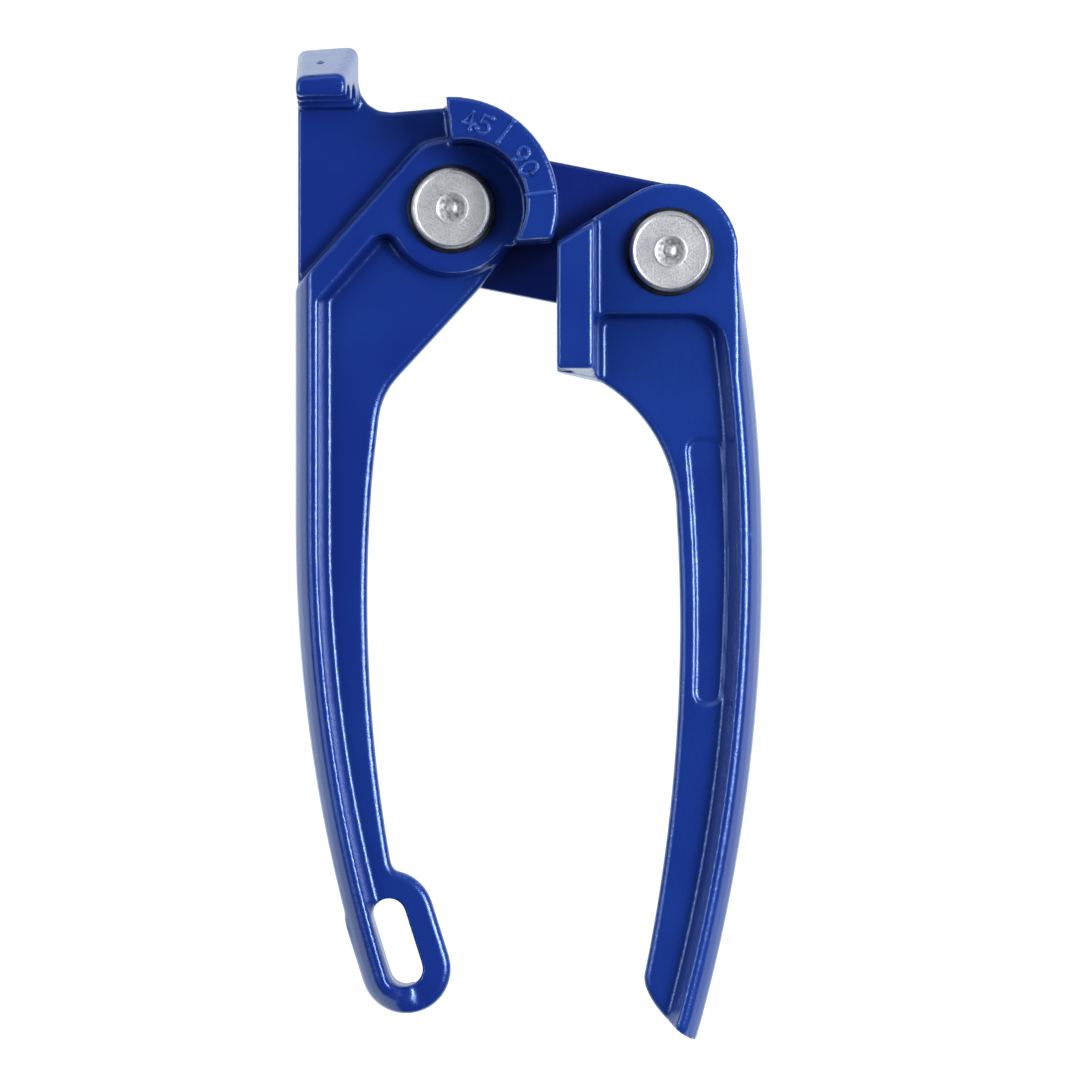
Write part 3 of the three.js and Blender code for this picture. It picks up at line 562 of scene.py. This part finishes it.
def settle(piece):
    """Turns what the modifiers make of a piece into its plain mesh."""
    graph = bpy.context.evaluated_depsgraph_get()
    mesh = bpy.data.meshes.new_from_object(piece.evaluated_get(graph))
    piece.modifiers.clear()
    piece.data = mesh
    return piece


def hand_over(piece, material, body, slot, *nodes):
    """Material, smooth shading, body and the solids that a piece stands for; slot is not used.
    """
    piece.data.materials.clear()
    piece.data.materials.append(material)
    piece.data.polygons.foreach_set("use_smooth", [True] * len(piece.data.polygons))
    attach(piece, body)
    if nodes:
        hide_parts(*nodes)
    print(piece.name, "faces:", len(piece.data.polygons))


print("points closer than", MERGE_MM, "mm become one")

# %% [markdown]
# ## The two castings
#
# A die casting has no sharp edge anywhere: the die's own corners are rounded, and the enamel
# rounds them again. The solids have crisp corners, so each casting is dressed with a copy
# that is remeshed into fine even squares and smoothed a little, which rounds every corner
# and fills every foot by about half a millimetre. Bevels would need clean edge loops, and a
# solid that was cut and joined many times has none.

# %% Soft casting skin
CASTING_SQUARE_MM = 0.42
SMOOTH_FACTOR = 0.5
SMOOTH_ROUNDS = 5


def soft_skin(node, name, square_mm):
    piece = merged_copy(node, name)
    remesh = piece.modifiers.new("even squares", "REMESH")
    remesh.mode = "VOXEL"
    remesh.voxel_size = square_mm * MM
    smooth = piece.modifiers.new("soft corners", "SMOOTH")
    smooth.factor = SMOOTH_FACTOR
    smooth.iterations = SMOOTH_ROUNDS
    return settle(piece)


fixed_casting = soft_skin("fixed_handle", "enamelled_fixed_handle", CASTING_SQUARE_MM)
hand_over(fixed_casting, handle_enamel, "fixed", "blue_enamel", "fixed_handle")
lever_casting = soft_skin("lever_handle", "enamelled_lever_handle", CASTING_SQUARE_MM)
hand_over(lever_casting, handle_enamel, "lever", "blue_enamel", "lever_handle")

# %% [markdown]
# ## The link
#
# The link is blanked from steel plate and tumbled, so its rim is rounded less than the
# castings' corners are. As many rounds of smoothing over finer squares do that.

# %% Link plate
LINK_SQUARE_MM = 0.3
link = soft_skin("link_plate", "enamelled_link_plate", LINK_SQUARE_MM)
hand_over(link, link_enamel, "link", "link_enamel", "link_plate")

# %% [markdown]
# ## Pins, washers and retaining rings
#
# All of these are turned or blanked round parts. A turned part is its profile spun about its
# axis, so one function takes a profile of (radius, height) points and closes the skin. Each
# corner of a profile becomes three small bends, which read as a rounding under the lights.
# Outer diameters and heights come from the solids' own boxes.

# %% Turned parts
TURN_STEPS = 120
EASE_MM = 0.12
EASE_SHARE = 0.45
ON_AXIS_MM = 1e-6


def eased(profile, ease):
    """The profile with each inner corner replaced by three points close to it."""
    points = [profile[0]]
    for before, here, after in zip(profile, profile[1:], profile[2:]):
        here, before, after = Vector(here), Vector(before), Vector(after)
        reach_in = min(ease, (before - here).length * EASE_SHARE)
        reach_out = min(ease, (after - here).length * EASE_SHARE)
        first = here + (before - here).normalized() * reach_in
        last = here + (after - here).normalized() * reach_out
        points += [first, (first + last + here * 2) / 4, last]
    return [Vector(p) for p in points] + [Vector(profile[-1])]


def ring_of_points(skin, centre, radius, height):
    """One turn of a profile's point; on the axis it is a single point."""
    if radius < ON_AXIS_MM:
        return [skin.verts.new((centre.x, centre.y, height * MM))]
    angles = [2 * math.pi * i / TURN_STEPS for i in range(TURN_STEPS)]
    return [
        skin.verts.new(
            (
                centre.x + radius * MM * math.cos(a),
                centre.y + radius * MM * math.sin(a),
                height * MM,
            )
        )
        for a in angles
    ]


def turned(name, profile, centre, ease=EASE_MM, closed=False):
    """Spins a profile, in millimetres, about an upright axis through centre."""
    skin = bmesh.new()
    rings = [ring_of_points(skin, centre, *point) for point in eased(profile, ease)]
    pairs = list(zip(rings, rings[1:]))
    if closed:
        pairs.append((rings[-1], rings[0]))
    for low, high in pairs:
        for i in range(TURN_STEPS):
            j = (i + 1) % TURN_STEPS
            corners = [
                low[i % len(low)],
                low[j % len(low)],
                high[j % len(high)],
                high[i % len(high)],
            ]
            skin.faces.new(list(dict.fromkeys(corners)))
    bmesh.ops.recalc_face_normals(skin, faces=skin.faces)
    mesh = bpy.data.meshes.new(name)
    skin.to_mesh(mesh)
    skin.free()
    return in_scene(name, mesh)


def round_size(node):
    """The outer radius and the two heights of a round solid, in millimetres."""
    low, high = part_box(node)
    return (high.x - low.x) / 2 / MM, low.z / MM, high.z / MM


print("head of the former's pin:", [round(size, 2) for size in round_size("former_pin")])

# %% [markdown]
# The head carries what the lathe left: a bright bead round the rim, a conical recess with a
# raised lip in the middle of the face, and the pip that stands in the recess. The bead is
# written as shares of its own width and rise.

# %% Pins
HEAD_THICKNESS_MM = 2.5
BEAD_MM, BEAD_RISE_MM = 0.95, 0.12
LIP_RADIUS_MM, LIP_MM = 3.0, 0.35
LIP_RISE_MM, LIP_DROP_MM = 0.07, 0.03
RECESS_DEPTH_MM = 0.22
PIP_RADIUS_MM = 0.9
PIP_FOOT_MM, PIP_SHOULDER_MM = 0.06, 0.05
SHANK_RADIUS_MM = 4.98
GROOVE_DEPTH_MM = 0.9
TAIL_MM, TAIL_CHAMFER_MM = 0.8, 0.4
RETAINER_MM = 1.0


def pin_profile(node):
    head, back, front = round_size(node)
    neck = SHANK_RADIUS_MM - GROOVE_DEPTH_MM
    under = front - HEAD_THICKNESS_MM
    face = front - BEAD_RISE_MM
    floor = face - RECESS_DEPTH_MM
    return [
        (0.0, back),
        (SHANK_RADIUS_MM - TAIL_CHAMFER_MM, back),
        (SHANK_RADIUS_MM, back + TAIL_CHAMFER_MM),
        (SHANK_RADIUS_MM, back + TAIL_MM),
        (neck, back + TAIL_MM),
        (neck, back + TAIL_MM + RETAINER_MM),
        (SHANK_RADIUS_MM, back + TAIL_MM + RETAINER_MM),
        (SHANK_RADIUS_MM, under),
        (head, under),
        (head, front - BEAD_MM),
        (head - BEAD_MM * 0.25, front - BEAD_MM * 0.3),
        (head - BEAD_MM * 0.65, front),
        (head - BEAD_MM, front - BEAD_RISE_MM * 0.6),
        (head - BEAD_MM * 1.15, face),
        (LIP_RADIUS_MM + LIP_MM, face),
        (LIP_RADIUS_MM, face + LIP_RISE_MM),
        (LIP_RADIUS_MM - LIP_MM, face - LIP_DROP_MM),
        (PIP_RADIUS_MM * 1.5, floor),
        (PIP_RADIUS_MM, floor + PIP_FOOT_MM),
        (PIP_RADIUS_MM * 0.6, face - PIP_SHOULDER_MM),
        (0.0, face),
    ]


for name, body in pin_bodies.items():
    pin = turned(f"turned_{name}_pin", pin_profile(f"{name}_pin"), pin_axes[name])
    hand_over(pin, pin_steel[name], body, "zinc_steel", f"{name}_pin")

# %% [markdown]
# The washers are blanked from strip: one face has rolled corners, the other a slight burr,
# which is why both rims get the same small easing. Front washers are dark, back ones plated.
# The profile starts and ends on the back face, because its two ends are not eased.

# %% Washers
WASHER_HOLE_MM = 5.25
WASHER_EASE_MM = 0.14
SEAM_MM = 0.2


def washer_profile(node):
    rim, back, front = round_size(node)
    middle_radius = (rim + WASHER_HOLE_MM) / 2
    return [
        (middle_radius, back),
        (rim, back),
        (rim, front),
        (WASHER_HOLE_MM, front),
        (WASHER_HOLE_MM, back),
        (middle_radius - SEAM_MM, back),
    ]


# The front washers' nearly black steel is oiled steel and also painted shade under each pin
# head.
for name, body in pin_bodies.items():
    for side, steel, slot in (
        ("front", dark_steel[name], "dark_steel"),
        ("back", pin_steel[name], "zinc_steel"),
    ):
        node = f"{name}_{side}_washer"
        profile = washer_profile(node)
        washer = turned(f"blanked_{node}", profile, pin_axes[name], WASHER_EASE_MM, closed=True)
        hand_over(washer, steel, body, slot, node)

# %% [markdown]
# The retaining rings are blanked from spring steel and keep the solid's outline, mouth and
# lips. Only their corners are eased: flat triangles are joined into one face first, so that
# the bevel finds nothing but true corners.

# %% Retaining rings
RING_CORNER_MM = 0.12
RING_CORNER_STEPS = 2
FLAT_ANGLE = math.radians(1.0)
CORNER_ANGLE = math.radians(32)


def corners_rounded(piece):
    dissolve = piece.modifiers.new("one face per flat", "DECIMATE")
    dissolve.decimate_type = "DISSOLVE"
    dissolve.angle_limit = FLAT_ANGLE
    bevel = piece.modifiers.new("tumbled corners", "BEVEL")
    bevel.width = RING_CORNER_MM * MM
    bevel.segments = RING_CORNER_STEPS
    bevel.limit_method = "ANGLE"
    bevel.angle_limit = CORNER_ANGLE
    bevel.harden_normals = True
    return settle(piece)


for name, body in pin_bodies.items():
    node = f"{name}_retaining_ring"
    ring = corners_rounded(merged_copy(node, f"blanked_{node}"))
    hand_over(ring, dark_steel[name], body, "dark_steel", node)

# %% [markdown]
# ## Figures and marks cast on the former
#
# The former's front face carries raised marks about 45 degrees apart and the figures 45 and
# 90, which tell how far a tube is bent. In the die they are cut with a round-nosed cutter,
# so on the casting each stroke is a low round ridge. Strokes along paths are what Geometry
# Nodes do well: the script draws each figure as a path in the place it has on the face, and
# the tree sweeps a round section along it, puts a ball on each point and a bigger one on
# each end, where the cutter dwells, and presses it all flat.

# %% Paths of the figures
FIGURE_HEIGHT_MM = 3.4
FIGURE_WIDTH_MM = 2.3
FIGURE_RADIUS_MM = 16.5
FIGURE_PLACES = (("4", 77.5), ("5", 66.5), ("9", 35.0), ("0", 24.4))
MARK_ANGLES = (52.5, 7.0)
MARK_RADII_MM = (15.0, 19.9)


def arc_path(centre, radius, start, end, steps=14):
    """Points on an arc between two angles, in shares of a figure's width and height."""
    angles = [math.radians(start + (end - start) * i / steps) for i in range(steps + 1)]
    return [
        (centre[0] + radius[0] * math.cos(a), centre[1] + radius[1] * math.sin(a))
        for a in angles
    ]


figure_strokes = {
    "4": [(0.72, 0.0), (0.72, 1.0), (0.0, 0.3), (1.0, 0.3)],
    "5": [(0.92, 1.0), (0.2, 1.0), (0.14, 0.56)]
    + arc_path((0.46, 0.32), (0.5, 0.32), 118, -150),
    "9": arc_path((0.5, 0.68), (0.44, 0.32), -20, 340)
    + arc_path((0.3, 0.62), (0.62, 0.62), 0, -70),
    "0": arc_path((0.5, 0.5), (0.46, 0.5), 0, 360, 28),
}


def outward_at(angle):
    """A step away from the former's pin, at this angle from X."""
    return Vector((math.cos(math.radians(angle)), math.sin(math.radians(angle))))


def figure_points(path, angle):
    """A figure's path, upright along the radius at this angle."""
    outward = outward_at(angle)
    along = Vector((outward.y, -outward.x))
    centre = pin_axes["former"].xy + outward * FIGURE_RADIUS_MM * MM
    for across_share, up_share in path:
        across = along * (across_share - 0.5) * FIGURE_WIDTH_MM
        up = outward * (up_share - 0.5) * FIGURE_HEIGHT_MM
        place = centre + (across + up) * MM
        yield (place.x, place.y, former_front)


stroke_paths = [
    list(figure_points(figure_strokes[figure], angle)) for figure, angle in FIGURE_PLACES
]
for angle in MARK_ANGLES:
    ends = [pin_axes["former"].xy + outward_at(angle) * r * MM for r in MARK_RADII_MM]
    stroke_paths.append([(end.x, end.y, former_front) for end in ends])
print("strokes:", len(stroke_paths), "points:", sum(len(p) for p in stroke_paths))

# %% [markdown]
# The tree's sizes are inputs with names, so the same tree could draw any other ridge. The
# balls are instances until Realize Instances makes them part of the mesh.

# %% A tree that raises ridges along paths
SECTION_SIDES = 12
BALL_SUBDIVISIONS = 3
ridge_tree = bpy.data.node_groups.new("ridges_along_paths", "GeometryNodeTree")
tree = ridge_tree  # a short name for the many lines that add to it
for label, kind, direction in (
    ("Geometry", "NodeSocketGeometry", "INPUT"),
    ("Stroke radius", "NodeSocketFloat", "INPUT"),
    ("End radius", "NodeSocketFloat", "INPUT"),
    ("Ridge height", "NodeSocketFloat", "INPUT"),
    ("Face height", "NodeSocketFloat", "INPUT"),
    ("Enamel", "NodeSocketMaterial", "INPUT"),
    ("Geometry", "NodeSocketGeometry", "OUTPUT"),
):
    tree.interface.new_socket(label, in_out=direction, socket_type=kind)
given = add(tree, "NodeGroupInput").outputs
curve = add(tree, "GeometryNodeMeshToCurve", {"Mesh": given["Geometry"]}).outputs["Curve"]
section = add(
    tree,
    "GeometryNodeCurvePrimitiveCircle",
    {"Resolution": SECTION_SIDES, "Radius": given["Stroke radius"]},
).outputs["Curve"]
swept = add(
    tree,
    "GeometryNodeCurveToMesh",
    {"Curve": curve, "Profile Curve": section, "Fill Caps": True},
).outputs["Mesh"]
path_ends = add(tree, "GeometryNodeCurveEndpointSelection").outputs["Selection"]
both = add(tree, "GeometryNodeJoinGeometry", {"Geometry": swept})
for radius, chosen in (("Stroke radius", {}), ("End radius", {"Selection": path_ends})):
    ball = add(
        tree,
        "GeometryNodeMeshIcoSphere",
        {"Radius": given[radius], "Subdivisions": BALL_SUBDIVISIONS},
    ).outputs["Mesh"]
    balls = add(
        tree, "GeometryNodeInstanceOnPoints", {"Points": curve, "Instance": ball, **chosen}
    ).outputs["Instances"]
    tree.links.new(balls, both.inputs["Geometry"])
real = add(
    tree, "GeometryNodeRealizeInstances", {"Geometry": both.outputs["Geometry"]}
).outputs["Geometry"]
print("sweep and balls:", len(tree.nodes), "nodes")

# %% [markdown]
# Pressing flat is a change of height only: what a point stands above the face is scaled by
# the ridge's height over the stroke's radius.

# %% The tree's second half presses the ridges flat
here = add(tree, "GeometryNodeInputPosition").outputs["Position"]
parts = add(tree, "ShaderNodeSeparateXYZ", {"Vector": here}).outputs
above = add(
    tree, "ShaderNodeMath", {0: parts["Z"], 1: given["Face height"]}, operation="SUBTRACT"
).outputs["Value"]
flatter = add(
    tree,
    "ShaderNodeMath",
    {0: given["Ridge height"], 1: given["Stroke radius"]},
    operation="DIVIDE",
).outputs["Value"]
pressed = add(
    tree,
    "ShaderNodeMath",
    {0: above, 1: flatter, 2: given["Face height"]},
    operation="MULTIPLY_ADD",
).outputs["Value"]
moved = add(
    tree, "ShaderNodeCombineXYZ", {"X": parts["X"], "Y": parts["Y"], "Z": pressed}
).outputs["Vector"]
ridged = add(
    tree, "GeometryNodeSetPosition", {"Geometry": real, "Position": moved}
).outputs["Geometry"]
coloured = add(
    tree, "GeometryNodeSetMaterial", {"Geometry": ridged, "Material": given["Enamel"]}
).outputs["Geometry"]
add(tree, "NodeGroupOutput", {"Geometry": coloured})
print("ridge tree nodes:", len(ridge_tree.nodes))

# %% [markdown]
# A modifier's inputs are set by each socket's identifier before the object is first
# evaluated. The strokes stand 0.4 mm proud of the former's front face and their ends a
# little more, and their lower half is sunk in it.

# %% Raise the figures and marks
RIDGE_SIZES_MM = {"Stroke radius": 0.46, "End radius": 0.66, "Ridge height": 0.4}


def ridges(name, paths, face_height, material):
    mesh = bpy.data.meshes.new(name)
    edges = []
    start = 0
    for path in paths:
        edges += [(start + i, start + i + 1) for i in range(len(path) - 1)]
        start += len(path)
    mesh.from_pydata([point for path in paths for point in path], edges, [])
    piece = in_scene(name, mesh)
    sweep = piece.modifiers.new("ridges", "NODES")
    sweep.node_group = ridge_tree
    values = {label: size * MM for label, size in RIDGE_SIZES_MM.items()}
    values |= {"Face height": face_height, "Enamel": material}
    for item in ridge_tree.interface.items_tree:
        if item.in_out == "INPUT" and item.name in values:
            sweep[item.identifier] = values[item.name]
    return settle(piece)


scale_marks = ridges("raised_bend_scale", stroke_paths, former_front, figure_enamel_painted_highlight)
hand_over(scale_marks, figure_enamel_painted_highlight, "fixed", "blue_enamel")

# %% [markdown]
# The hook's sloping back keeps a small round witness of the die: a crater with a raised rim.
# It is a turned piece too, tipped on to the slope where a line from the camera meets it.

# %% Die witness on the hook's back
WITNESS_PLACE_MM = (-25.3, 28.0)
WITNESS_RADIUS_MM = 0.9
WITNESS_EASE_MM = 0.05
witness_profile = [
    (0.0, 0.02),
    (0.3, 0.03),
    (0.55, 0.16),
    (0.7, 0.14),
    (WITNESS_RADIUS_MM, -0.05),
    (WITNESS_RADIUS_MM, -0.3),
    (0.0, -0.3),
]
bpy.context.view_layer.update()
over_the_hook = Vector((WITNESS_PLACE_MM[0] * MM, WITNESS_PLACE_MM[1] * MM, 1.0))
_, spot, slope, _ = fixed_casting.ray_cast(over_the_hook, Vector((0, 0, -1)))
witness = turned("die_witness", witness_profile, Vector((0, 0, 0)), WITNESS_EASE_MM)
tip = slope.to_track_quat("Z", "Y").to_matrix().to_4x4()
witness.data.transform(Matrix.Translation(spot) @ tip)
hand_over(witness, handle_enamel, "fixed", "blue_enamel")
print("witness at", [round(c / MM, 2) for c in spot], "slope", [round(c, 2) for c in slope])

# %% [markdown]
# ## Floor, light and camera
#
# The photograph was taken straight down on a pure white ground that shows no shadow, which
# is what a light table gives: an opal sheet lit from below. The sheet also explains the pale
# strips along the grips, where steep sides mirror it at a grazing angle.

# %% Floor
FLOOR_HALF_M = 3.0
FLOOR_DROP_MM = 0.05
TABLE_GLOW = 1.2
floor_mesh = bpy.data.meshes.new("light_table")
floor_corners = [(-1, -1), (1, -1), (1, 1), (-1, 1)]
floor_mesh.from_pydata(
    [(x * FLOOR_HALF_M, y * FLOOR_HALF_M, -FLOOR_DROP_MM * MM) for x, y in floor_corners],
    [],
    [(0, 1, 2, 3)],
)
floor = in_scene("light_table", floor_mesh)
opal, opal_tree = new_material("opal_acrylic_lit_from_below")
finish_material(
    opal_tree,
    add(
        opal_tree,
        "ShaderNodeBsdfPrincipled",
        {
            "Base Color": linear("#3c3c3d"),
            "Roughness": 0.9,
            "Emission Color": linear("#edf9ff"),
            "Emission Strength": TABLE_GLOW,
        },
    ),
)
floor_mesh.materials.append(opal)
print("floor:", 2 * FLOOR_HALF_M, "m wide, glow", TABLE_GLOW)

# %% [markdown]
# The flat faces show almost pure paint, so nothing bright hangs straight above. The studio's
# walls are pale at middle height and darker on the near side, where the grips end. Close to
# the horizon they are dark: that draws the thin dark line between a grip's pale side and its
# front. A wall's paleness rises over one band of heights and falls over a second one.

# %% World
RING_STRENGTH = 0.5
DARK_STRENGTH = 0.06
NEAR_SIDE_SHARE = 0.12
world = bpy.data.worlds.new("studio")
bpy.context.scene.world = world
world.use_nodes = True
sky = world.node_tree
sky.nodes.clear()
direction = add(sky, "ShaderNodeTexCoord").outputs["Generated"]
way = add(sky, "ShaderNodeSeparateXYZ", {"Vector": direction}).outputs
above_horizon = add(
    sky, "ShaderNodeMapRange", {"Value": way["Z"], "From Min": 0.2, "From Max": 0.34}
).outputs["Result"]
below_zenith = add(
    sky,
    "ShaderNodeMapRange",
    {"Value": way["Z"], "From Min": 0.55, "From Max": 0.72, "To Min": 1.0, "To Max": 0.0},
).outputs["Result"]
far_side = add(
    sky,
    "ShaderNodeMapRange",
    {"Value": way["Y"], "From Min": -0.5, "From Max": 0.3, "To Min": NEAR_SIDE_SHARE},
).outputs["Result"]
paleness = above_horizon
for share in (below_zenith, far_side):
    paleness = add(
        sky, "ShaderNodeMath", {0: paleness, 1: share}, operation="MULTIPLY"
    ).outputs["Value"]
strength = add(
    sky,
    "ShaderNodeMapRange",
    {"Value": paleness, "To Min": DARK_STRENGTH, "To Max": RING_STRENGTH},
).outputs["Result"]
background = add(
    sky, "ShaderNodeBackground", {"Color": linear("#ebf6ff"), "Strength": strength}
)
sky_output = add(sky, "ShaderNodeOutputWorld")
sky.links.new(background.outputs[0], sky_output.inputs["Surface"])
print("world nodes:", len(sky.nodes))

# %% [markdown]
# The brightest lines lie on edges that lean to the right, weaker and finer ones on edges that
# lean to the left or up, and hardly any on edges that lean down. So the main softbox hangs on
# the right with a small hard one near its middle, the left has a broad weak one with a small
# one within it, and a broad fill hangs at the top. The broad ones give a line its width, and
# the small ones make the dots of grit sparkle.

# %% Lamps
LAMP_TINT = linear("#f0f6ff")[:3]
LAMP_DISTANCE_M = 1.2
TOOL_MIDDLE_M = Vector((0.017, -0.064, 0.01))


def softbox(name, azimuth, elevation, size_m, watts):
    """A square lamp that looks at the tool's middle; azimuth is clockwise from +Y."""
    lamp = bpy.data.lights.new(name, "AREA")
    lamp.size = size_m
    lamp.energy = watts
    lamp.color = LAMP_TINT
    holder = in_scene(name, lamp)
    a, e = math.radians(azimuth), math.radians(elevation)
    way = Vector((math.sin(a) * math.cos(e), math.cos(a) * math.cos(e), math.sin(e)))
    holder.location = TOOL_MIDDLE_M + way * LAMP_DISTANCE_M
    holder.rotation_euler = way.to_track_quat("Z", "Y").to_euler()
    print(name, "at", [round(c, 2) for c in holder.location], watts, "W")


softbox("main_softbox_right", 85, 52, 0.62, 10.5)
softbox("small_softbox_right", 85, 50, 0.24, 4.5)
softbox("fill_softbox_top", -14, 46, 0.8, 1.8)
softbox("weak_softbox_left", -86, 40, 0.9, 3.8)
softbox("small_softbox_left", -80, 46, 0.2, 1.6)

# %% [markdown]
# The camera looks straight down, with +Y at the top of the picture. Its focal length follows
# from the width that the photograph covers half way up the grips.

# %% Camera
CAMERA_PLACE_M = (0.017157, -0.064364, 1.0)
SENSOR_WIDTH_MM = 36.0
FRAME_WIDTH_MM = 211.68
FRAME_HEIGHT_PLANE_MM = 7.5
camera_data = bpy.data.cameras.new("camera")
camera_data.sensor_width = SENSOR_WIDTH_MM
distance_mm = CAMERA_PLACE_M[2] / MM - FRAME_HEIGHT_PLANE_MM
camera_data.lens = SENSOR_WIDTH_MM * distance_mm / FRAME_WIDTH_MM
camera = in_scene("camera", camera_data)
camera.location = CAMERA_PLACE_M
bpy.context.scene.camera = camera
bpy.context.scene.view_settings.view_transform = "Standard"
print("lens:", round(camera_data.lens, 1), "mm")
